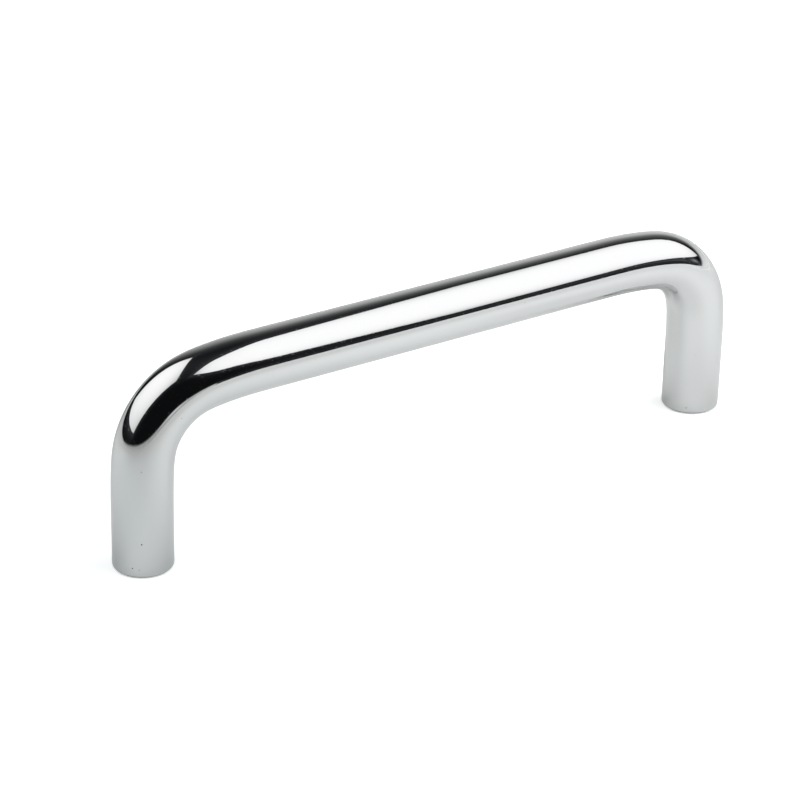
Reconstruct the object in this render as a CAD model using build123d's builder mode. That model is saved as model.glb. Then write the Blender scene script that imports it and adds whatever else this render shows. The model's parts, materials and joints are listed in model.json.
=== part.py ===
"""Bar pull for a drawer or a cabinet door: a round steel rod, bent down at both ends and chrome plated.

The straight bar is the grip. Both ends turn down into legs that stand on the drawer front, and
each foot is drilled and tapped from below for the screw that comes through the front.

Frame, in millimetres: the origin is on the mounting plane, midway between the two screw holes.
+X runs along the bar and +Z points away from the drawer front, so the feet stand on z = 0.
"""

import os
from math import radians, sqrt, tan

from build123d import *

# Overall sizes
hole_spacing = 88.9  # between the axes of the two screw holes, three and a half inches
rod_diameter = 8.0
projection = 28.575  # from the mounting plane to the top of the bar, one and an eighth inches

# Bend, measured on the rod's centreline. A rod that is bent cold springs back a little on each
# side of the former, so the tight arc runs out into the leg and into the bar through slack ones.
former_radius = 9.8
leg_easing_radius = 72.0
leg_easing_angle = 4.2
bar_easing_radius = 52.0
bar_easing_angle = 8.6

# Rim of each foot, rounded where the cut end was polished
foot_rim_radius = 0.4

# Blind tapped hole in each foot, for a number 8 screw with 32 threads to the inch
thread_major_diameter = 4.166
thread_pitch = 25.4 / 32
thread_engagement = 0.69  # the share of the full thread height that the tapping drill leaves
threaded_depth = 11.0
tap_lead = 3.0  # room past the full threads for the tapered end of the tap
drill_point_angle = 118.0
countersink_angle = 90.0
countersink_clearance = 0.12  # all round the thread, so that the screw starts easily

# Sizes that follow from those
rod_radius = rod_diameter / 2
bar_height = projection - rod_radius  # of the bar's centreline
former_angle = 90.0 - leg_easing_angle - bar_easing_angle
thread_height = 3 / 4 * sqrt(3) / 2 * thread_pitch  # of a 60 degree thread cut to its full height
drill_radius = thread_major_diameter / 2 - thread_engagement * thread_height
drilled_depth = threaded_depth + tap_lead
drill_point_height = drill_radius / tan(radians(drill_point_angle / 2))
countersink_radius = thread_major_diameter / 2 + countersink_clearance
countersink_depth = (countersink_radius - drill_radius) / tan(radians(countersink_angle / 2))


def draw_bend(start, tangent):
    """Draw the bend's three tangent arcs, from the leg round to the bar, and return the last."""
    out_of_leg = JernArc(start, tangent, leg_easing_radius, -leg_easing_angle)
    round_former = JernArc(out_of_leg @ 1, out_of_leg % 1, former_radius, -former_angle)
    return JernArc(round_former @ 1, round_former % 1, bar_easing_radius, -bar_easing_angle)


# The bend by itself, drawn once to measure how far it reaches. What is left of the height is
# straight leg, and what is left of the spacing is straight bar.
with BuildLine(Plane.XZ) as trial_bend:
    bend_reach = draw_bend((0, 0), (0, 1)) @ 1
straight_leg = bar_height - bend_reach.Z
half_straight_bar = hole_spacing / 2 - bend_reach.X

# Centreline of the left half: up the leg, round the bend and along to the middle of the bar
left_leg_plane = Plane.XZ.shift_origin((-hole_spacing / 2, 0, 0))
with BuildLine(left_leg_plane) as centreline:
    leg = Line((0, 0), (0, straight_leg))
    bend = draw_bend(leg @ 1, leg % 1)
    Line(bend @ 1, (hole_spacing / 2, bar_height))

with BuildPart() as bar_pull:
    # The rod, as a disc carried along the centreline from the foot
    with BuildSketch(Plane(origin=leg @ 0, z_dir=leg % 0)):
        Circle(rod_radius)
    sweep(path=centreline.line)

    # Rounded rim of the foot
    foot_rim = bar_pull.faces().sort_by(Axis.Z)[0].edges()
    fillet(foot_rim, radius=foot_rim_radius)

    # Hole up the axis of the leg, as half of its section turned about that axis
    with BuildSketch(left_leg_plane):
        with BuildLine():
            Polyline(
                (0, 0),
                (countersink_radius, 0),
                (drill_radius, countersink_depth),
                (drill_radius, drilled_depth),
                (0, drilled_depth + drill_point_height),
                close=True,
            )
        make_face()
    revolve(axis=Axis(leg @ 0, leg % 0), mode=Mode.SUBTRACT)

    # The right half mirrors the left one
    mirror(about=Plane.YZ)

bar_pull.part.label = "bar_pull"

if __name__ == "__main__":
    os.makedirs("parts", exist_ok=True)
    export_step(bar_pull.part, "parts/bar_pull.step")
    print("straight leg", round(straight_leg, 2), "straight bar", round(2 * half_straight_bar, 2))
    print("tapping drill", round(2 * drill_radius, 3), "hole depth", round(drilled_depth, 2))
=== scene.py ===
# %% [markdown]
# # A chrome bar pull
# The real pull is one round steel rod. Its two ends are bent down into legs, each foot is drilled
# and tapped for a screw, and the whole rod is polished until it is a mirror and then chrome plated.
# A mirror has hardly any colour of its own: what makes it look like chrome is what stands around
# it. So this lesson spends its care on two things, a very smooth surface and a small photo studio.
#
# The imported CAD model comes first, as a fixed frame. It says where the pull is and how large.

# %% Load the frame
import json
from math import cos, degrees, pi, radians, sin, tan

import bpy
import numpy as np
from mathutils import Matrix, Vector


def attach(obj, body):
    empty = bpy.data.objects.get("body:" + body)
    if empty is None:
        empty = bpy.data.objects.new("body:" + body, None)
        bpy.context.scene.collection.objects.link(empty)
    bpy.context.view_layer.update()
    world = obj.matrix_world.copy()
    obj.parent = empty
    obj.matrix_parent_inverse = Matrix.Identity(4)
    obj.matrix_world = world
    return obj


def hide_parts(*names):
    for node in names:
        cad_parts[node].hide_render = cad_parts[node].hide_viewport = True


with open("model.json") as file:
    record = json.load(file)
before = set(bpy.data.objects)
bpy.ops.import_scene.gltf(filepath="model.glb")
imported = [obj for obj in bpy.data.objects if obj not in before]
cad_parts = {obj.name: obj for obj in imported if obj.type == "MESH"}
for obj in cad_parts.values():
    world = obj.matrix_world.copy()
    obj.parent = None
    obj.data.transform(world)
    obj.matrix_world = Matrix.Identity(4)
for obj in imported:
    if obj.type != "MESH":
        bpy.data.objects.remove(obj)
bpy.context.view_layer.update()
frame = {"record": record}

# %% [markdown]
# ## Sizes
# The hole spacing and the hole are read from the mounts in the frame's record. The sizes of the rod
# and of its bend are the ones that a maker would set on the bending machine. A rod that is bent cold
# springs back on both sides of the former, so its bend is a tight arc between two slack ones.

# %% Sizes of the rod
MM = 0.001
mounts = {mount["name"]: mount for mount in frame["record"]["mounts"]}
screw_sizes = mounts["screw_pattern"]["dims"]
hole_spacing = screw_sizes["spacing_x_mm"] * MM
drill_radius = screw_sizes["hole_r_mm"] * MM
rod_radius = 4.0 * MM
projection = 28.575 * MM  # from the drawer front to the top of the bar
rim_radius = 0.4 * MM  # rounded rim of the cut end

former_radius = 9.8 * MM  # the three radii are on the rod's centreline
leg_easing_radius, leg_easing_angle = 72.0 * MM, radians(4.2)
bar_easing_radius, bar_easing_angle = 52.0 * MM, radians(8.6)
former_angle = pi / 2 - leg_easing_angle - bar_easing_angle
print("hole spacing", round(hole_spacing / MM, 3), "mm")
print("the former turns the rod by", round(degrees(former_angle), 1), "degrees")

# %% [markdown]
# ## The centreline
# The rod's centreline could be a curve object with a round bevel. A formula is better here, because
# a mirror shows every kink. A line made of straights and arcs has a heading that falls in straight
# stretches along its length, so the heading starts as a broken line in arc length. In the real rod
# the curvature doesn't jump from one arc to the next either, so the broken line is averaged over a
# short window. The points then follow from the heading.

# %% Centreline as a function of arc length
blend_reach = 1.6 * MM  # the window reaches this far to each side
window_places = 33
blend_window = np.linspace(-blend_reach, blend_reach, window_places)


def heading_at(lengths, knots, headings):
    """Heading at the arc lengths: the mean, over the window, of the broken line through the knots."""
    return np.interp(lengths[:, None] + blend_window, knots, headings).mean(axis=1)


def walk(stations, knots, headings):
    """Points of a flat curve at the stations, which are arc lengths, and its headings there.

    The curve starts at 0, 0. Between two stations it turns evenly by t over a length d, so its chord
    is d times the sine of t / 2 over t / 2, and it lies along the mean of the two headings. The points
    are the running sum of the chords.
    """
    heading = heading_at(stations, knots, headings)
    half_turn = np.diff(heading) / 2
    chord = np.diff(stations) * np.sinc(half_turn / pi)
    along = heading[:-1] + half_turn
    steps = np.stack([chord * np.cos(along), chord * np.sin(along)], axis=1)
    return np.concatenate([np.zeros((1, 2)), np.cumsum(steps, axis=0)]), heading


print("the window is", round(2 * blend_reach / MM, 1), "mm long")

# %% One bend, and what it leaves for the straights
bend_radii = np.array([leg_easing_radius, former_radius, bar_easing_radius])
bend_angles = np.array([leg_easing_angle, former_angle, bar_easing_angle])
bend_lengths = bend_radii * bend_angles
bend_knots = np.concatenate([[0.0], np.cumsum(bend_lengths)])
bend_headings = pi / 2 - np.concatenate([[0.0], np.cumsum(bend_angles)])
bend_samples = 2001


def bend_reach_and_rise():
    """How far one bend reaches along X and rises along Z: a walk with a short straight at each end."""
    lead = 2 * blend_reach
    samples = np.linspace(-lead, bend_knots[-1] + lead, bend_samples)
    return walk(samples, bend_knots, bend_headings)[0][-1] - lead


reach, rise = bend_reach_and_rise()
straight_leg = projection - rod_radius - rise
straight_bar = hole_spacing - 2 * reach
print("straight leg", round(straight_leg / MM, 2), "mm, straight bar", round(straight_bar / MM, 2), "mm")

# %% The whole rod as a broken line of headings
stretches = [[straight_leg], bend_lengths, [straight_bar], bend_lengths[::-1], [straight_leg]]
knots = np.concatenate([[0.0], np.cumsum(np.concatenate(stretches))])
headings = np.concatenate([[pi / 2], bend_headings, -bend_headings[::-1], [-pi / 2]])
rod_length = knots[-1]
print("rod length along its centreline", round(rod_length / MM, 1), "mm")

# %% [markdown]
# ## Rings from one drill tip to the other
# The whole skin of the pull is one closed surface: it starts at the tip of the left hole, comes down
# the thread, goes out over the foot and its rounded rim, runs up the leg, over the bar and down to
# the other foot, and ends in the right hole. Each ring of that surface has a centre on the rod's
# centreline, a heading and a radius, so one table of rings describes all of it.

# %% Rings of the outer skin
ring_points = 128  # points round each ring
straight_step = 3.0 * MM  # from ring to ring where the rod is straight
turn_step = radians(0.65)  # and at most this much turn from ring to ring in a bend
rod_samples = 4001


def spread(start, end, count):
    """Evenly spaced values from start up to, but without, the end."""
    return np.linspace(start, end, count, endpoint=False)


def rod_stations():
    """Arc lengths of the outer rings, from above one rim to above the other.

    The cost of a stretch is its length in straight steps plus its turn in turn steps. The rings stand
    at equal costs, so they are close together in the bends, and their spacing changes smoothly.
    """
    fine = np.linspace(0, rod_length, rod_samples)
    turned = pi / 2 - heading_at(fine, knots, headings)
    cost = fine / straight_step + turned / turn_step
    every = np.interp(np.linspace(0, cost[-1], round(cost[-1])), cost, fine)
    return np.concatenate([[rim_radius], every[1:-1], [rod_length - rim_radius]])


stations = rod_stations()
path, path_heading = walk(np.concatenate([[0.0], stations, [rod_length]]), knots, headings)
path[:, 0] -= hole_spacing / 2
miss = np.hypot(*(path[-1] - [hole_spacing / 2, 0.0]))
print(len(stations), "outer rings, the last foot misses its place by", round(miss / MM, 6), "mm")

# %% [markdown]
# ## The foot and its tapped hole
# The drawer's screw is a number 8 with 32 threads to the inch. The hole is drilled, countersunk and
# tapped, and stops inside the leg. A thread could be a bump in the material, but it shows when the
# pull is turned over, so it is cut into the surface: at each height and angle the wall lies at the
# drill's radius, or deeper where the helical groove passes.

# %% Rings of the foot and the hole
thread_major_radius = 2.083 * MM
thread_pitch = 25.4 / 32 * MM
threaded_depth = 11.0 * MM
tap_lead = 3.0 * MM  # the groove fades out over this length, where the tap is tapered
drilled_depth = threaded_depth + tap_lead
drill_point_angle = radians(118)
drill_point_height = drill_radius / tan(drill_point_angle / 2)
countersink_clearance = 0.12 * MM  # all round the thread, so that the screw starts easily
countersink_radius = thread_major_radius + countersink_clearance
rings_per_pitch = 10
wall_rings = round(drilled_depth / thread_pitch * rings_per_pitch)
face_rings, rim_rings, tip_rings = 6, 9, 4


def foot_profile():
    """Heights and radii of the foot's rings, from the drill tip down the hole and out to the rim.

    The rim is a quarter circle: at a turn q the radius is the rod's less 1 - sin q of the rim's own,
    and the height is 1 - cos q of it.
    """
    tip = spread(0.0, 1.0, tip_rings + 1)[1:]
    tip_z = drilled_depth + (1 - tip) * drill_point_height
    wall_z = spread(drilled_depth, 0.0, wall_rings)
    face_r = spread(countersink_radius, rod_radius - rim_radius, face_rings)
    quarter = spread(0.0, pi / 2, rim_rings)
    rim_z = rim_radius * (1 - np.cos(quarter))
    rim_r = rod_radius - rim_radius * (1 - np.sin(quarter))
    z = np.concatenate([tip_z, wall_z, 0 * face_r, rim_z])
    r = np.concatenate([tip * drill_radius, 0 * wall_z + drill_radius, face_r, rim_r])
    return z, r


profile_z, profile_r = foot_profile()
first_wall_ring = tip_rings
first_face_ring = tip_rings + wall_rings
print(len(profile_z), "rings in each foot,", wall_rings, "of them down the tapped wall")

# %% The helical groove
groove_depth = thread_major_radius - drill_radius
flank_slope = 1 / tan(radians(30))  # depth gained along a flank, in a groove of 60 degrees
root_half_width = thread_pitch / 16  # the groove's bottom is flat for an eighth of a pitch
mouth_half_width = root_half_width + groove_depth / flank_slope


def tapped_radius(z, angle):
    """Radius of the hole's wall at height z and at an angle about the leg.

    The groove's middle climbs one pitch for each turn. At a distance w from it the groove is as deep
    as its flank allows, which is the slope times the mouth's half width less w, but never deeper than
    the thread, and never deeper than the tap's taper. The countersink is a cone that cuts both.
    """
    turns = z / thread_pitch - angle / (2 * pi)
    w = np.abs(turns - np.round(turns)) * thread_pitch
    taper = np.clip((drilled_depth - z) / tap_lead, 0, 1)
    depth = np.clip((mouth_half_width - w) * flank_slope, 0, groove_depth * taper)
    return np.maximum(drill_radius + depth, countersink_radius - z)


turn_count = threaded_depth / thread_pitch
print("groove", round(groove_depth / MM, 3), "mm deep,", round(turn_count, 1), "turns")

# %% [markdown]
# ## One closed mesh
# The rings are now put together. A point of a ring stands off the centreline by the radius, partly
# along the bend's outward normal and partly along Y. The grid closes on itself round the rod, and at
# each drill tip it closes in a fan of triangles, so the mesh has no open edge.
#
# Each point also keeps its place on the rod as it was before it was bent. Polishing marks are made
# along a straight rod, so the materials read that place and the marks follow the bend.

# %% Build the rings
theta = spread(0.0, 2 * pi, ring_points)


def ring_table():
    """Centre x and z, heading, radius and the length along the rod of every ring, tip to tip."""
    outer, outer_heading = path[1:-1], path_heading[1:-1]
    left_x = np.full(len(profile_z), -hole_spacing / 2)
    up = np.full(len(profile_z), pi / 2)
    x = np.concatenate([left_x, outer[:, 0], -left_x])
    z = np.concatenate([profile_z, outer[:, 1], profile_z[::-1]])
    heading = np.concatenate([up, outer_heading, -up])
    radius = np.concatenate([profile_r, np.full(len(outer), rod_radius), profile_r[::-1]])
    length = np.concatenate([profile_z, stations, rod_length - profile_z[::-1]])
    return x, z, heading, radius, length


def skin_points():
    """Grid of points, and of their places on the unbent rod: ring by ring, angle by angle.

    With the heading h the outward normal of the bend is minus sine h along X and cosine h along Z. A
    point is the centre plus the radius times (cosine theta times that normal plus sine theta times Y).
    """
    x, z, heading, radius, length = (column[:, None] for column in ring_table())
    r = np.repeat(radius, ring_points, axis=1)
    walls = np.zeros(len(x), bool)
    walls[first_wall_ring:first_face_ring] = True
    walls |= walls[::-1]
    about_leg = np.where(x < 0, pi - theta, theta)  # angle about Z, as seen from above the leg
    r = np.where(walls[:, None], tapped_radius(z, about_leg), r)
    out = r * np.cos(theta)
    side = r * np.sin(theta)
    points = np.stack([x - out * np.sin(heading), side, z + out * np.cos(heading)], axis=-1)
    unbent = np.stack([length + 0 * out, out, side], axis=-1)
    return points, unbent


points, unbent = skin_points()
ring_count = len(points)
print(ring_count, "rings of", ring_points, "points")

# %% Helpers for meshes


def grid_faces(rings, columns):
    """Four-sided faces between neighbouring rings, closed round the ring, facing outwards."""
    ring = np.arange(rings - 1)[:, None] * columns
    here = np.arange(columns)[None, :]
    beside = (here + 1) % columns
    corners = [ring + here, ring + here + columns, ring + beside + columns, ring + beside]
    return np.stack(corners, axis=-1).reshape(-1, 4)


def fan_faces(first, apex, columns, flip):
    """Triangles from one ring, which begins at the first point, to a single point."""
    here = first + np.arange(columns)
    beside = first + (np.arange(columns) + 1) % columns
    pair = (beside, here) if flip else (here, beside)
    return np.stack([*pair, np.full(columns, apex)], axis=-1)


def make_mesh(name, vertices, *faces):
    """A mesh from whole arrays: the corner list is flat, and each face says where its corners start."""
    mesh = bpy.data.meshes.new(name)
    mesh.vertices.add(len(vertices))
    mesh.vertices.foreach_set("co", vertices.astype(np.float32).ravel())
    corners = np.concatenate([rows.ravel() for rows in faces])
    sizes = np.concatenate([np.full(len(rows), rows.shape[1]) for rows in faces])
    mesh.loops.add(len(corners))
    mesh.loops.foreach_set("vertex_index", corners)
    mesh.polygons.add(len(sizes))
    mesh.polygons.foreach_set("loop_start", np.concatenate([[0], np.cumsum(sizes)[:-1]]))
    mesh.update(calc_edges=True)
    mesh.validate()
    return mesh


def put_in_scene(name, data):
    """A new object for a mesh, a lamp or a camera, at the origin and unturned."""
    made = bpy.data.objects.new(name, data)
    bpy.context.scene.collection.objects.link(made)
    return made


print("mesh helpers ready")

# %% Join the rings into one mesh
tip_height = drilled_depth + drill_point_height
tips = np.array([[-hole_spacing / 2, 0, tip_height], [hole_spacing / 2, 0, tip_height]])
vertices = np.concatenate([points.reshape(-1, 3), tips])
last_ring = (ring_count - 1) * ring_points
left_fan = fan_faces(0, len(vertices) - 2, ring_points, flip=False)
right_fan = fan_faces(last_ring, len(vertices) - 1, ring_points, flip=True)
skin = grid_faces(ring_count, ring_points)
pull_mesh = make_mesh("chrome_bar_pull", vertices, skin, left_fan, right_fan)


def signed_volume(mesh):
    """Volume inside a closed mesh, above zero if its faces point outwards.

    Each triangle and the origin span a tetrahedron of a sixth of the triple product of its corners.
    """
    mesh.calc_loop_triangles()
    corners = np.empty(len(mesh.loop_triangles) * 3, np.int32)
    mesh.loop_triangles.foreach_get("vertices", corners)
    a, b, c = (vertices[corners.reshape(-1, 3)[:, i]] for i in range(3))
    return float((a * np.cross(b, c)).sum() / 6)


volume = signed_volume(pull_mesh)
triangle_count = len(pull_mesh.loop_triangles)
print(triangle_count, "triangles, volume", round(volume / MM**3, 1), "cubic mm")

# %% Give the mesh its unbent places, smooth shading and surface regions
tip_places = np.array([[tip_height, 0, 0], [rod_length - tip_height, 0, 0]])
place = pull_mesh.attributes.new("place_on_rod", "FLOAT_VECTOR", "POINT")
all_places = np.concatenate([unbent.reshape(-1, 3), tip_places])
place.data.foreach_set("vector", all_places.astype(np.float32).ravel())

PLATED, CUT_FACE, TAPPED = 0, 1, 2
sharp_angle = radians(28)  # an edge that turns by more than this keeps its line


def face_regions():
    """Material number of each face, by the ring that it starts from: thread, foot or polished skin."""
    ring = np.arange(ring_count - 1)
    from_end = np.minimum(ring, ring_count - 2 - ring)
    by_ring = np.full(ring_count - 1, PLATED)
    by_ring[from_end < first_face_ring + face_rings] = CUT_FACE
    by_ring[from_end < first_face_ring] = TAPPED
    fans = np.full(2 * ring_points, TAPPED)
    return np.concatenate([np.repeat(by_ring, ring_points), fans])


regions = face_regions()
pull_mesh.polygons.foreach_set("material_index", regions.astype(np.int32))
pull_mesh.shade_smooth()
pull_mesh.set_sharp_from_angle(angle=sharp_angle)

pull = put_in_scene("chrome_bar_pull", pull_mesh)
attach(pull, "root")
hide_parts("bar_pull")
print("faces that are plated, cut and tapped:", np.bincount(regions))

# %% [markdown]
# ## Helpers for materials
# Materials are small graphs of nodes, and the same few nodes come back in all of them. One helper
# adds a node and fills its inputs. The others use it for what comes back most: a sum, a change of
# range, noise, a mix of two colours and the two kinds of place.

# %% Node helpers


def add(tree, kind, inputs=None, **settings):
    """Add a node. An input is linked if it is given a socket, and set if it is given a value."""
    made = tree.nodes.new(kind)
    for name, value in settings.items():
        setattr(made, name, value)
    for name, value in (inputs or {}).items():
        if isinstance(value, bpy.types.NodeSocket):
            tree.links.new(value, made.inputs[name])
        else:
            made.inputs[name].default_value = value
    return made


def maths(tree, operation, *values):
    """Add one sum and return its result."""
    return add(tree, "ShaderNodeMath", dict(enumerate(values)), operation=operation).outputs[0]


def ramp(tree, value, low, high, to_low=0.0, to_high=1.0, ease="SMOOTHSTEP"):
    """Carry a value from one range to another, held at both ends."""
    ends = {"Value": value, "From Min": low, "From Max": high, "To Min": to_low, "To Max": to_high}
    return add(tree, "ShaderNodeMapRange", ends, interpolation_type=ease).outputs["Result"]


def noise(tree, place, scale, detail):
    """Smooth noise between 0 and 1, with about scale bumps to the metre."""
    inputs = {"Vector": place, "Scale": scale, "Detail": detail}
    return add(tree, "ShaderNodeTexNoise", inputs).outputs["Fac"]


def mix_colours(tree, share, first, second):
    """The first colour where the share is 0, the second where it is 1."""
    inputs = {"Factor": share, "A": first, "B": second}
    return add(tree, "ShaderNodeMix", inputs, data_type="RGBA").outputs["Result"]


def place_on_rod(tree):
    """Place on the rod before it was bent, as the mesh keeps it."""
    return add(tree, "ShaderNodeAttribute", attribute_name="place_on_rod").outputs["Vector"]


def place_in_scene(tree):
    """Place in metres, read from the object's own coordinates."""
    return add(tree, "ShaderNodeTexCoord").outputs["Object"]


print("node helpers ready")

# %% Helpers for groups
FLOAT, VECTOR = "NodeSocketFloat", "NodeSocketVector"


def empty_group(name, inputs, outputs):
    """A new shader group and its two end nodes. An input is (name, type, value or None)."""
    group = bpy.data.node_groups.new(name, "ShaderNodeTree")
    for socket_name, kind, value in inputs:
        socket = group.interface.new_socket(socket_name, in_out="INPUT", socket_type=kind)
        if value is not None:
            socket.default_value = value
    for socket_name, kind in outputs:
        group.interface.new_socket(socket_name, in_out="OUTPUT", socket_type=kind)
    return group, group.nodes.new("NodeGroupInput").outputs, group.nodes.new("NodeGroupOutput").inputs


def use(tree, group, inputs):
    """Place a group in a material and return what it puts out."""
    return add(tree, "ShaderNodeGroup", inputs, node_tree=group).outputs


print("group helpers ready")

# %% [markdown]
# ## Marks of the polishing wheel
# Even a good mirror polish isn't flat: the wheel leaves very low waves, longer along the rod than
# round it, a finer grain over them, and hairlines on top. They are far too low to see as a shape, but
# they make the edges of a reflection wander a little. The plated skin, the faced ends and the thread
# all have them, so they are one group, with the heights of the waves and of the grain and the depth
# of the hairlines as inputs.

# %% Polishing marks as a group
wheel_marks = {  # how far it is squeezed along the rod, and the noise's scale and detail
    "waves": (0.35, 420.0, 1.0),
    "grain": (0.7, 1400.0, 1.0),
    "hairlines": (0.04, 2600.0, 3.0),
}
hairline_half_width = 0.012  # in units of the noise


def drawn_out_noise(tree, place, squeeze, scale, detail):
    """Noise on coordinates that are squeezed along the rod, so that it runs longer that way."""
    squeezed = add(tree, "ShaderNodeMapping", {"Vector": place, "Scale": (squeeze, 1.0, 1.0)})
    return noise(tree, squeezed.outputs[0], scale, detail)


def polishing_marks():
    """Height of the surface over its ideal form, in metres, and a mask that is 1 on a hairline.

    The waves and the grain are smooth noise, each times its own height. The hairlines are the places
    where a third, much longer noise crosses its middle value, and their depth is taken off.
    """
    inputs = [("Place", VECTOR, None), ("Wave Height", FLOAT, 1e-6)]
    inputs += [("Grain Height", FLOAT, 1e-6), ("Hairline Depth", FLOAT, 1e-7)]
    outputs = [("Height", FLOAT), ("Hairline", FLOAT)]
    group, given, result = empty_group("polishing_marks", inputs, outputs)
    waves = drawn_out_noise(group, given["Place"], *wheel_marks["waves"])
    grain = drawn_out_noise(group, given["Place"], *wheel_marks["grain"])
    lines = drawn_out_noise(group, given["Place"], *wheel_marks["hairlines"])
    off_middle = maths(group, "ABSOLUTE", maths(group, "SUBTRACT", lines, 0.5))
    hairline = ramp(group, off_middle, 0.0, hairline_half_width, 1.0, 0.0)
    low = maths(group, "MULTIPLY", waves, given["Wave Height"])
    fine = maths(group, "MULTIPLY", grain, given["Grain Height"])
    cut = maths(group, "MULTIPLY", hairline, given["Hairline Depth"])
    height = maths(group, "SUBTRACT", maths(group, "ADD", low, fine), cut)
    group.links.new(height, result["Height"])
    group.links.new(hairline, result["Hairline"])
    return group


marks_group = polishing_marks()
print("group", marks_group.name, "has", len(marks_group.nodes), "nodes")

# %% [markdown]
# ## Pits
# The plating has a few pinholes, where a speck kept the metal from taking. Eight of them are placed
# one by one. A pit is a tiny ball round a point on the surface: inside the ball the mask is 1, or less
# where the pit is faint.

# %% Pits placed on the rod
pit_places = {  # x, y and z in mm, the radius, and how plain it is
    "leg pinhole": (-46.53, -3.42, 4.93, 0.11, 1.0),
    "foot pinhole": (-47.47, -2.62, 1.41, 0.10, 1.0),
    "second foot pinhole": (-46.84, -3.21, 1.24, 0.07, 1.0),
    "upper leg speck": (-46.39, -3.38, 15.19, 0.11, 0.45),
    "bend speck": (-40.88, -4.00, 21.52, 0.06, 1.0),
    "bar speck": (11.58, -3.99, 24.91, 0.06, 1.0),
    "far foot chip": (41.59, -2.80, 0.98, 0.16, 0.4),
    "far leg speck": (42.18, -3.29, 9.26, 0.07, 0.35),
}
pit_core = 0.75  # share of the radius inside the soft edge


def pit_mask(tree, place):
    """How plain the pit is inside a pit, and 0 outside, with a soft edge."""
    total = 0.0
    for x, y, z, radius, plain in pit_places.values():
        inputs = {0: place, 1: (x * MM, y * MM, z * MM)}
        gap = add(tree, "ShaderNodeVectorMath", inputs, operation="DISTANCE").outputs["Value"]
        pit = ramp(tree, gap, radius * MM * pit_core, radius * MM, plain, 0.0)
        total = maths(tree, "ADD", total, pit)
    return maths(tree, "MINIMUM", total, 1.0)


print(len(pit_places), "pits")

# %% [markdown]
# ## Chrome plate
# Chromium mirrors a bit under two thirds of the light, with hardly any tint. The shader is a plain
# metal. What it needs is a low roughness that isn't the same everywhere: a little higher on the
# hairlines and where a hand has smeared it, higher on specks of dust, and much higher in a pit.

# %% The plated skin
chrome_colour = (0.645, 0.655, 0.655, 1)
pit_colour = (0.12, 0.13, 0.13, 1)
clean_roughness = 0.03
hairline_roughness, smear_roughness, dust_roughness = 0.02, 0.012, 0.14  # added to the clean one
pit_roughness = 0.6


def new_material(name):
    """An empty material with a Principled shader linked to its output."""
    material = bpy.data.materials.new(name)
    material.use_nodes = True
    return material, material.node_tree, material.node_tree.nodes["Principled BSDF"]


def finish_metal(tree, shader, colour, rough, height):
    """Give a metal its colour and roughness, and a bump from a height in metres."""
    bump = add(tree, "ShaderNodeBump", {"Height": height, "Strength": 1.0, "Distance": 1.0})
    tree.links.new(colour, shader.inputs["Base Color"])
    tree.links.new(rough, shader.inputs["Roughness"])
    tree.links.new(bump.outputs["Normal"], shader.inputs["Normal"])
    shader.inputs["Metallic"].default_value = 1.0


def chrome_plate():
    """Mirror chrome with low polishing waves, hairlines, smears, dust and a few pits.

    Smears lie where a coarse noise is above its middle, and dust where a fine one peaks.
    """
    material, tree, shader = new_material("chrome_plate")
    place = place_on_rod(tree)
    polish = {"Wave Height": 1.2e-6, "Grain Height": 1.5e-6, "Hairline Depth": 2.5e-8}
    marks = use(tree, marks_group, {"Place": place, **polish})
    pits = pit_mask(tree, place_in_scene(tree))
    smear = ramp(tree, noise(tree, place, 160.0, 4.0), 0.5, 0.72, 0.0, smear_roughness)
    dust = ramp(tree, noise(tree, place, 4200.0, 1.0), 0.62, 0.74, 0.0, dust_roughness)
    rough = maths(tree, "MULTIPLY_ADD", marks["Hairline"], hairline_roughness, smear)
    rough = maths(tree, "ADD", maths(tree, "ADD", rough, dust), clean_roughness)
    rough = maths(tree, "MAXIMUM", rough, maths(tree, "MULTIPLY", pits, pit_roughness))
    colour = mix_colours(tree, pits, chrome_colour, pit_colour)
    finish_metal(tree, shader, colour, rough, marks["Height"])
    return material


pull_mesh.materials.append(chrome_plate())
print("material", pull_mesh.materials[PLATED].name)

# %% [markdown]
# ## The cut face and the thread
# The end of the rod is faced on a lathe before plating, so it keeps fine rings about the hole under
# the chrome, with painted shade in their grooves and painted light on their ridges. The thread is cut
# last, through the plating: it is bare steel, duller and warmer, with painted shade that darkens it
# deeper in the hole.

# %% The faced end
turning_pitch = 0.05 * MM  # from one turning ring to the next
turning_height = 6e-7
faced_roughness, faced_hairlines = 0.2, 0.1  # the second is added on a hairline
# The grooves of the turning rings are darker and the ridges lighter: painted shade and painted light.
shaded_groove_colour = (0.50, 0.51, 0.515, 1)
lit_ridge_colour = (0.60, 0.61, 0.615, 1)


def distance_to_leg_axis(tree):
    """Distance from the axis of the nearer leg, and the height, read from the object's own place."""
    part = add(tree, "ShaderNodeSeparateXYZ", {"Vector": place_in_scene(tree)}).outputs
    across = maths(tree, "SUBTRACT", maths(tree, "ABSOLUTE", part["X"]), hole_spacing / 2)
    side_square = maths(tree, "MULTIPLY", part["Y"], part["Y"])
    squares = maths(tree, "MULTIPLY_ADD", across, across, side_square)
    return maths(tree, "SQRT", squares), part["Z"]


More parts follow.
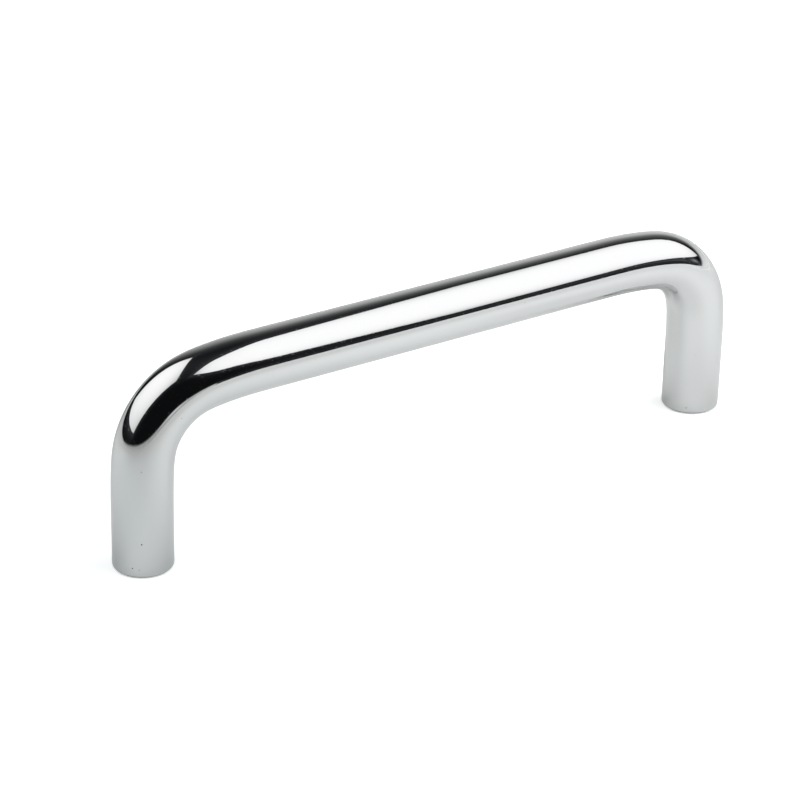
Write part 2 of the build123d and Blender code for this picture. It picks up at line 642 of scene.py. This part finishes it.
def faced_end():
    """Plated end face with turning rings: a sine of the distance from the leg's axis."""
    material, tree, shader = new_material("faced_end")
    polish = {"Wave Height": 4e-7, "Grain Height": 4e-7, "Hairline Depth": 1e-7}
    marks = use(tree, marks_group, {"Place": place_on_rod(tree), **polish})
    from_axis, _ = distance_to_leg_axis(tree)
    rings = maths(tree, "SINE", maths(tree, "MULTIPLY", from_axis, 2 * pi / turning_pitch))
    height = maths(tree, "MULTIPLY_ADD", rings, turning_height, marks["Height"])
    rough = maths(tree, "MULTIPLY_ADD", marks["Hairline"], faced_hairlines, faced_roughness)
    # Painted shade in the grooves and painted light on the ridges of the rings
    shade = ramp(tree, rings, -1.0, 1.0)
    colour = mix_colours(tree, shade, shaded_groove_colour, lit_ridge_colour)
    finish_metal(tree, shader, colour, rough, height)
    return material


pull_mesh.materials.append(faced_end())
print("material", pull_mesh.materials[CUT_FACE].name)

# %% The tapped wall
# The steel turns darker towards the drill tip: painted shade deep in the hole, mixed with the stains.
clean_steel = (0.47, 0.45, 0.43, 1)
shaded_steel = (0.16, 0.145, 0.13, 1)
shade_depth = 9 * MM  # up the hole, where the steel is at its darkest
steel_roughness, stain_roughness = 0.22, 0.25  # the second is added where a stain is full


def tapped_steel():
    """Bare steel of the thread, with torn streaks round the hole and painted shade near the tip."""
    material, tree, shader = new_material("tapped_steel")
    place = place_on_rod(tree)
    polish = {"Wave Height": 2e-6, "Grain Height": 2e-6, "Hairline Depth": 4e-7}
    marks = use(tree, marks_group, {"Place": place, **polish})
    _, height = distance_to_leg_axis(tree)
    # Painted shade, growing from the foot's face to its full depth up the hole
    depth = ramp(tree, height, 0.0, shade_depth)
    stain = noise(tree, place, 700.0, 4.0)
    # Half painted shade and half the steel's own stains
    dark = maths(tree, "MULTIPLY", maths(tree, "ADD", depth, stain), 0.5)
    rough = maths(tree, "MULTIPLY_ADD", stain, stain_roughness, steel_roughness)
    colour = mix_colours(tree, dark, clean_steel, shaded_steel)
    finish_metal(tree, shader, colour, rough, marks["Height"])
    return material


pull_mesh.materials.append(tapped_steel())
print("material", pull_mesh.materials[TAPPED].name)

# %% [markdown]
# ## The camera
# The picture is square, and was taken with a long lens from a little above the bar and to its left.
# The camera looks at a point under the bar, from a direction given by two angles, and is rolled by
# nearly a degree and a half. Its frame is worked out for a picture of 800 by 800.

# %% Camera
view_azimuth, view_elevation, view_roll = radians(-34.373), radians(26.562), radians(1.414)
camera_distance = 0.4142
camera_target = Vector((-5.343 * MM, 0.0, 13.184 * MM))

level_share = cos(view_elevation)
back = Vector((sin(view_azimuth) * level_share, -cos(view_azimuth) * level_share, sin(view_elevation)))
level_right = Vector((cos(view_azimuth), sin(view_azimuth), 0.0))
level_up = back.cross(level_right)
right = level_right * cos(view_roll) + level_up * sin(view_roll)
up = back.cross(right)

camera_data = bpy.data.cameras.new("camera")
camera_data.lens, camera_data.sensor_width = 141.0, 36.0  # both in mm
camera_data.clip_start, camera_data.clip_end = 0.01, 20.0
camera = put_in_scene("camera", camera_data)
axes = Matrix((right, up, back)).transposed().to_4x4()
camera.matrix_world = Matrix.Translation(camera_target + back * camera_distance) @ axes
bpy.context.scene.camera = camera
print("camera at", [round(x, 4) for x in camera.matrix_world.translation])

# %% [markdown]
# ## Two softboxes
# The white shapes in the chrome are two square softboxes, one behind the left end and a nearer one
# off the right end. They stand upright on their stands, so a centre and a point to aim at say how
# each is turned. Its power follows from how bright it should be: a flat lamp of area A and brightness
# B gives off pi times A times B. These lamps light the floor and nothing sees them. Their cloths, as
# the chrome shows them, are made further on, because a photograph flattens what is very bright.

# %% Softboxes
left_cloth = {
    "centre": (-0.331, 0.360, 0.630),
    "aim": (0.545, -0.114, -0.004),
    "width": 1.112,
    "height": 1.040,
}
right_cloth = {
    "centre": (0.271, -0.129, 0.2624),
    "aim": (0.107, -0.008, 0.0044),
    "width": 0.495,
    "height": 0.478,
}


def softbox(name, cloth, brightness):
    """A square lamp that looks from its centre at the aim, with its upper edge level."""
    lamp = bpy.data.lights.new(name, "AREA")
    lamp.shape = "RECTANGLE"
    lamp.size, lamp.size_y = cloth["width"], cloth["height"]
    lamp.energy = pi * cloth["width"] * cloth["height"] * brightness
    holder = put_in_scene(name, lamp)
    turn = (Vector(cloth["aim"]) - Vector(cloth["centre"])).to_track_quat("-Z", "Y")
    holder.matrix_world = Matrix.Translation(cloth["centre"]) @ turn.to_matrix().to_4x4()
    holder.visible_camera = False
    holder.visible_glossy = False
    print(name, "power", round(lamp.energy, 2), "W")


softbox("left_softbox", left_cloth, brightness=1.25)
softbox("right_softbox", right_cloth, brightness=2.48)

# %% [markdown]
# ## Things that only mirrors see
# Three things stand round the pull for its chrome alone: the cloths of the softboxes, a dark dome and
# a black card. Each is a mesh that keeps its own brightness at each point and gives it off, and the
# camera and the floor don't see it. What is dark is a little blue, and a softbox is a little warm.

# %% Glowing meshes for the mirrors


def smooth_step(value, low, high):
    """0 below low, 1 above high, and an S curve between: three squares less two cubes of the share."""
    share = np.clip((value - low) / (high - low), 0, 1)
    return share * share * (3 - 2 * share)


def tinted(grey):
    """Red, green and blue of a grey: bluer where it is dark, warmer where it is bright."""
    dark = 1 - smooth_step(grey, 0.0, 0.1)
    bright = smooth_step(grey, 0.9, 1.3)
    red = grey * (1 - 0.07 * dark + 0.012 * bright)
    blue = grey * (1 + 0.08 * dark + 0.006 * bright)
    return np.stack([red, grey, blue], axis=-1)


def glowing():
    """Gives off the colour kept in the mesh."""
    material, tree, shader = new_material("glowing")
    tree.nodes.remove(shader)
    kept = add(tree, "ShaderNodeAttribute", attribute_name="glow").outputs["Vector"]
    glow = add(tree, "ShaderNodeEmission", {"Color": kept, "Strength": 1.0})
    tree.links.new(glow.outputs[0], tree.nodes["Material Output"].inputs["Surface"])
    return material


def mirror_only(mesh, grey):
    """Stand a mesh in the studio, with a grey for each of its points, where only mirrors see it."""
    kept = mesh.attributes.new("glow", "FLOAT_VECTOR", "POINT")
    kept.data.foreach_set("vector", tinted(grey.ravel()).ravel().astype(np.float32))
    mesh.materials.append(glow_material)
    stand = put_in_scene(mesh.name, mesh)
    stand.visible_camera = False
    stand.visible_diffuse = False
    stand.visible_shadow = False
    stand.visible_volume_scatter = False
    print(mesh.name, "of", len(mesh.polygons), "faces")


glow_material = glowing()
print("material", glow_material.name)

# %% The two cloths
cloth_cells = 24


def cloth_axes(cloth):
    """Centre of a cloth, the way it looks, and its two axes: level and upright."""
    centre = np.array(cloth["centre"])
    looks = np.array(cloth["aim"]) - centre
    looks /= np.linalg.norm(looks)
    level = np.cross((0, 0, 1), looks)
    level /= np.linalg.norm(level)
    return centre, looks, level, np.cross(looks, level)


def make_cloth(name, cloth, middle_grey, edge_share, power, offset=0.0):
    """A flat grid. The grey falls from the brightest spot by a power of the way out to an edge."""
    centre, _, level, upright = cloth_axes(cloth)
    share = np.linspace(-1, 1, cloth_cells + 1)
    across, rise = np.meshgrid(share, share)
    along_level = across[..., None] * level * cloth["width"] / 2
    along_upright = rise[..., None] * upright * cloth["height"] / 2
    spots = (centre + along_level + along_upright).reshape(-1, 3)
    grey = middle_grey * (1 - (1 - edge_share) * np.hypot(across - offset, rise) ** power)
    row = np.arange(cloth_cells)
    first = (row[:, None] * (cloth_cells + 1) + row).reshape(-1, 1)
    quads = first + [0, 1, cloth_cells + 2, cloth_cells + 1]
    mirror_only(make_mesh(name, spots, quads), grey)


make_cloth("left_cloth", left_cloth, middle_grey=1.48, edge_share=0.80, power=2, offset=0.2)
make_cloth("right_cloth", right_cloth, middle_grey=1.52, edge_share=0.87, power=4)

# %% [markdown]
# ## The dark room
# Between the softboxes the chrome is almost black, because the studio was dark. A pull in an evenly
# white room would look like grey plastic. So a dome stands round the scene. It is black cloth, with a
# grey paper behind the pull that fades upwards, a thin bright line where the lit table meets the
# cloth, and the light that leaks out round each softbox. The camera looks through the dome to the
# white world outside.
#
# Directions are given in degrees: azimuth from the front, which is -Y, round towards +X, and
# elevation above the floor. What each light or edge on the dome measures was set until its
# reflection in the rod had the right place and brightness.

# %% Steps and bells on the dome


def bell(value, middle, width):
    """1 at the middle, falling to both sides as e to the minus square of the way out in widths."""
    return np.exp(-(((value - middle) / width) ** 2))


def direction(azimuth, elevation):
    """Unit vectors: sine of the azimuth along X and minus its cosine along Y, both less as it rises."""
    turn, lift = np.radians(azimuth), np.radians(elevation)
    parts = [np.sin(turn) * np.cos(lift), -np.cos(turn) * np.cos(lift), np.sin(lift)]
    return np.stack(np.broadcast_arrays(*parts), axis=-1)


def leak(azimuth, elevation, cloth, strength, reach):
    """Light that leaks out round a cloth: it falls as e to the minus of the angle from its edge.

    A direction r meets the plane of the cloth at r times c.n / r.n, with c its centre and n the way it
    looks. How far that point lies outside the edges, over the distance of the cloth, gives the angle.
    """
    centre, looks, level, upright = cloth_axes(cloth)
    ways = direction(azimuth, elevation)
    facing = np.minimum(ways @ looks, -1e-3)  # so that nothing is divided by zero
    spots = ways * ((centre @ looks) / facing)[..., None] - centre
    over_level = np.maximum(np.abs(spots @ level) - cloth["width"] / 2, 0)
    over_upright = np.maximum(np.abs(spots @ upright) - cloth["height"] / 2, 0)
    outside = np.hypot(over_level, over_upright)
    angle = np.degrees(np.arctan(outside / np.linalg.norm(centre)))
    return strength * np.exp(-angle / reach)


print("one width from its middle a bell is down to", round(float(bell(1.0, 0.0, 1.0)), 3))

# %% Paper, table and leaks of light
cloth_black = 0.006
leaks = [(left_cloth, 0.06, 4.5), (right_cloth, 0.03, 3.0)]  # with strength and reach
spills = {  # brightness, then the middle and width of its bell in azimuth and in elevation
    "right": (0.085, 47, 13, 5, 6),
    "behind": (0.05, 175, 12, 0, 6),
    "high": (0.025, 145, 25, 50, 10),
    "glint": (0.32, 66, 4.5, 6, 2.5),
}


def paper_grey(azimuth, elevation):
    """The paper behind the pull: bright at the floor, and gone at 54 degrees by a squared cosine.

    Its right edge is a wide soft step. Its left edge curls back as it rises, from azimuth 70 to 129,
    and gets softer. On that side the paper is a fifth brighter, because the right softbox is near,
    and then come a duller stretch and a plain one.
    """
    upwards = np.cos(radians(90) * np.clip(elevation / 54, 0, 1)) ** 2
    right_side = 1 - smooth_step(azimuth, 132, 185)
    curl = 129 - 59 * np.exp(-((np.clip(elevation, 0, 90) / 13.2) ** 1.4))
    softness = 2 + 1.1 * np.clip(elevation, 0, 90)
    left_side = smooth_step(azimuth, curl - softness, curl + softness)
    near_lamp = 1.2 - 0.28 * smooth_step(azimuth, 85, 118) + 0.08 * smooth_step(azimuth, 125, 150)
    return 0.82 * upwards * right_side * left_side * near_lamp


def table_line(azimuth, elevation):
    """The line where the lit table meets the cloth: a soft step down, three degrees high.

    It is highest and brightest at the front, where a window is, fainter before the paper, and lowest
    at azimuth 210.
    """
    window = bell(azimuth, 0, 12)
    before_paper = smooth_step(azimuth, 20, 40) * (1 - smooth_step(azimuth, 160, 200))
    level = 0.42 + 0.36 * window - 0.34 * before_paper
    top = 2.95 + 3.5 * window - 4.0 * bell(azimuth, 210, 36)
    return level * (1 - smooth_step(elevation, top - 2.9, top))


def dome_grey(azimuth, elevation):
    """Brightness of the dome in a direction, for azimuths from -90 to 270."""
    overhead = 0.016 * smooth_step(elevation, 50, 85)
    lights = overhead + sum(leak(azimuth, elevation, *each) for each in leaks)
    for brightness, turn, turn_width, lift, lift_width in spills.values():
        across = bell(azimuth, turn, turn_width)
        lights = lights + brightness * across * bell(elevation, lift, lift_width)
    return cloth_black + lights + table_line(azimuth, elevation) + paper_grey(azimuth, elevation)


print("brightness straight overhead", round(float(dome_grey(0.0, 90.0)), 4))

# %% Dome of black cloth and grey paper
dome_radius = 2.4
dome_columns, dome_rows = 180, 64
dome_foot = -0.6  # degrees, just under the floor
row_power = 1.8  # above 1, so that the rows crowd towards the floor


def make_dome():
    """Half a ball, as a grid of azimuth and elevation, which grows by a power of the row."""
    azimuth = spread(-90.0, 270.0, dome_columns)
    elevation = dome_foot + (90 - dome_foot) * spread(0.0, 1.0, dome_rows) ** row_power
    a, e = np.meshgrid(azimuth, elevation)
    shell = np.concatenate([direction(a, e).reshape(-1, 3), [[0, 0, 1]]]) * dome_radius
    grey = np.append(dome_grey(a, e).ravel(), dome_grey(0.0, 90.0))
    last = (dome_rows - 1) * dome_columns
    cap = fan_faces(last, len(shell) - 1, dome_columns, flip=False)
    mirror_only(make_mesh("dark_dome", shell, grid_faces(dome_rows, dome_columns), cap), grey)


make_dome()

# %% [markdown]
# ## A black card
# In front of the right softbox the table's reflection stops short, with a dark stretch beyond it. A
# low folded card stands there, on four given corners, and mirrors see it too.

# %% Folded card
card_corners = np.array([[0.13, -0.40], [0.209, -0.202], [0.49, -0.344], [2.1, -0.935]])
card_height = 0.045
card_grey = 0.03


def make_card():
    """Upright panels from corner to corner."""
    count = len(card_corners)
    foot = np.column_stack([card_corners, np.zeros(count)])
    both = np.concatenate([foot, foot + [0, 0, card_height]])
    panels = np.arange(count - 1)[:, None] + [0, 1, count + 1, count]
    mirror_only(make_mesh("black_card", both, panels), np.full(len(both), card_grey))


make_card()

# %% [markdown]
# ## The floor
# The pull stands on a white sweep that runs out to a white world. The floor is lit by the softboxes
# and keeps the pull's soft shadow. A share of light of its own, seen only by the camera and by
# mirrors, brings it up to white.
#
# Chrome shows more of a floor than the eye does: a part that is lit better or shaded looks plain
# white to the eye, and makes a bright or a grey band in the rod. So the floor has soft patches that
# only mirrors see, brighter or darker than the rest, and a cooler tone beside the near foot. Each
# foot stands on a small round window, and from below the whole floor is clear, so that the feet
# and their holes can be seen.

# %% Soft patches of floor
floor_level = 0.78  # share of the floor's light that mirrors see away from the patches
floor_patches = {  # what it adds, its middle and its reach along X and Y in metres, and its power
    "in front": (0.32, (0.015, -0.028), (0.076, 0.045), 2),
    "in front, right": (0.09, (0.11, -0.05), (0.06, 0.05), 2),
    "in front, left": (-0.04, (-0.10, -0.11), (0.09, 0.06), 2),
    "before the near foot": (-0.07, (-0.052, -0.030), (0.03, 0.03), 2),
    "before the far foot": (-0.11, (0.037, -0.019), (0.016, 0.017), 2),
    "beside": (0.19, (-0.113, 0.040), (0.102, 0.050), 2),
    "beyond": (0.08, (-0.16, 0.16), (0.16, 0.11), 2),
    "under the bar": (0.06, (0.030, 0.008), (0.013, 0.010), 2),
    "behind the near foot": (-0.18, (-0.044, 0.048), (0.014, 0.035), 2),
    "behind": (-0.44, (-0.011, 0.15), (0.055, 0.11), 4),
    "behind the far foot": (-0.43, (0.050, 0.012), (0.009, 0.010), 3),
    "behind, right": (-0.28, (0.08, 0.15), (0.08, 0.10), 2),
    "right": (-0.04, (0.085, 0.015), (0.035, 0.03), 2),
    "under the right softbox": (-0.14, (0.36, -0.11), (0.09, 0.08), 2),
    "far in front": (0.05, (0.06, -0.35), (0.10, 0.20), 2),
}


def patch(tree, place, middle, reach, power):
    """1 in the middle of a soft patch of floor: e to the minus a power of the way out in reaches."""
    scale = (1 / reach[0], 1 / reach[1], 0)
    shift = (-middle[0] / reach[0], -middle[1] / reach[1], 0)
    centring = {"Vector": place, "Location": shift, "Scale": scale}
    centred = add(tree, "ShaderNodeMapping", centring).outputs[0]
    way_out = add(tree, "ShaderNodeVectorMath", {0: centred}, operation="LENGTH").outputs["Value"]
    return maths(tree, "EXPONENT", maths(tree, "MULTIPLY", maths(tree, "POWER", way_out, power), -1.0))


def lit_share(tree, place):
    """How much of the floor's light mirrors see: the level, and what each patch adds or takes."""
    share = floor_level
    for amount, middle, reach, power in floor_patches.values():
        share = maths(tree, "MULTIPLY_ADD", patch(tree, place, middle, reach, power), amount, share)
    return share


print(len(floor_patches), "patches")

# %% Colour and light of the floor's paper
floor_colour = (0.89, 0.90, 0.90, 1)
cool_colour = (0.862, 0.90, 0.902, 1)
cool_patch = ((-0.075, -0.005), (0.05, 0.05), 2)  # left of the near foot: middle, reach and power

# Two distances in metres, and how strong the floor's own light is at the first and at the second
camera_glow = (0.12, 0.6, 0.40, 1.0)
far_glow = (0.25, 1.5, 0.0, 0.36)
right_glow = (0.30, 0.62, 0.0, 0.58)


def seen(tree, *ray_names):
    """1 for the kinds of ray that are named, 0 for the others."""
    rays = add(tree, "ShaderNodeLightPath").outputs
    total = 0.0
    for name in ray_names:
        total = maths(tree, "ADD", total, rays[name])
    return maths(tree, "MINIMUM", total, 1.0)


def paper_colour(tree, here):
    """White with one cooler patch, and dimmed where mirrors see less of the floor's light."""
    unlit = maths(tree, "SUBTRACT", 1.0, lit_share(tree, here))
    dimmed = maths(tree, "MULTIPLY", seen(tree, "Is Glossy Ray"), unlit)
    kept = maths(tree, "SUBTRACT", 1.0, dimmed)
    tone = mix_colours(tree, patch(tree, here, *cool_patch), floor_colour, cool_colour)
    inputs = {0: tone, "Scale": kept}
    return add(tree, "ShaderNodeVectorMath", inputs, operation="SCALE").outputs["Vector"]


def own_light(tree, here):
    """Strength of the floor's own light, which grows away from the pull and towards the right."""
    away = add(tree, "ShaderNodeVectorMath", {0: here}, operation="LENGTH").outputs["Value"]
    to_the_right = add(tree, "ShaderNodeSeparateXYZ", {"Vector": here}).outputs["X"]
    to_camera = ramp(tree, away, *camera_glow)
    far = ramp(tree, away, *far_glow, ease="LINEAR")
    to_mirrors = maths(tree, "ADD", far, ramp(tree, to_the_right, *right_glow))
    camera_share = maths(tree, "MULTIPLY", seen(tree, "Is Camera Ray"), to_camera)
    mirrors = seen(tree, "Is Glossy Ray", "Is Transmission Ray")
    return maths(tree, "ADD", camera_share, maths(tree, "MULTIPLY", mirrors, to_mirrors))


print("the floor's own light reaches", camera_glow[3], "for the camera")

# %% Lay the floor
floor_reach = 2.6  # half the side of the square sweep
floor_drop = 0.02 * MM  # so that the floor and the feet don't share one plane
window_radius = rod_radius - rim_radius


def opening(tree):
    """1 in the windows under the two feet, and all over the floor's lower side."""
    from_axis, _ = distance_to_leg_axis(tree)
    window = maths(tree, "LESS_THAN", from_axis, window_radius)
    below = add(tree, "ShaderNodeNewGeometry").outputs["Backfacing"]
    return maths(tree, "MAXIMUM", window, below)


def floor_material():
    """White paper with its own faint light, open in the two windows and from below."""
    material, tree, shader = new_material("floor_paper")
    here = place_in_scene(tree)
    shader.inputs["Roughness"].default_value = 0.9
    shader.inputs["Specular IOR Level"].default_value = 0.1
    shader.inputs["Emission Color"].default_value = (1, 1, 1, 1)
    tree.links.new(paper_colour(tree, here), shader.inputs["Base Color"])
    tree.links.new(own_light(tree, here), shader.inputs["Emission Strength"])
    open_air = add(tree, "ShaderNodeBsdfTransparent")
    inputs = {0: opening(tree), 1: shader.outputs[0], 2: open_air.outputs[0]}
    mix = add(tree, "ShaderNodeMixShader", inputs)
    tree.links.new(mix.outputs[0], tree.nodes["Material Output"].inputs["Surface"])
    return material


floor_square = np.array([[-1, -1, 0], [1, -1, 0], [1, 1, 0], [-1, 1, 0]])
floor_corners = floor_square * floor_reach - [0, 0, floor_drop]
floor_mesh = make_mesh("floor", floor_corners, np.array([[0, 1, 2, 3]]))
floor_mesh.materials.append(floor_material())
floor = put_in_scene("floor", floor_mesh)
print("floor", 2 * floor_reach, "m wide")

# %% World
ambient_level = 0.25  # for every kind of ray that doesn't see the world as white


def studio_world():
    """White to the camera and to mirrors, and a faint even light on everything else."""
    world = bpy.data.worlds.new("studio_world")
    world.use_nodes = True
    tree = world.node_tree
    background = tree.nodes["Background"]
    background.inputs["Color"].default_value = (1, 1, 1, 1)
    white = seen(tree, "Is Camera Ray", "Is Glossy Ray", "Is Transmission Ray")
    level = maths(tree, "MAXIMUM", white, ambient_level)
    tree.links.new(level, background.inputs["Strength"])
    return world


bpy.context.scene.world = studio_world()
bpy.context.scene.view_settings.view_transform = "Standard"
print("even light of the world", ambient_level)
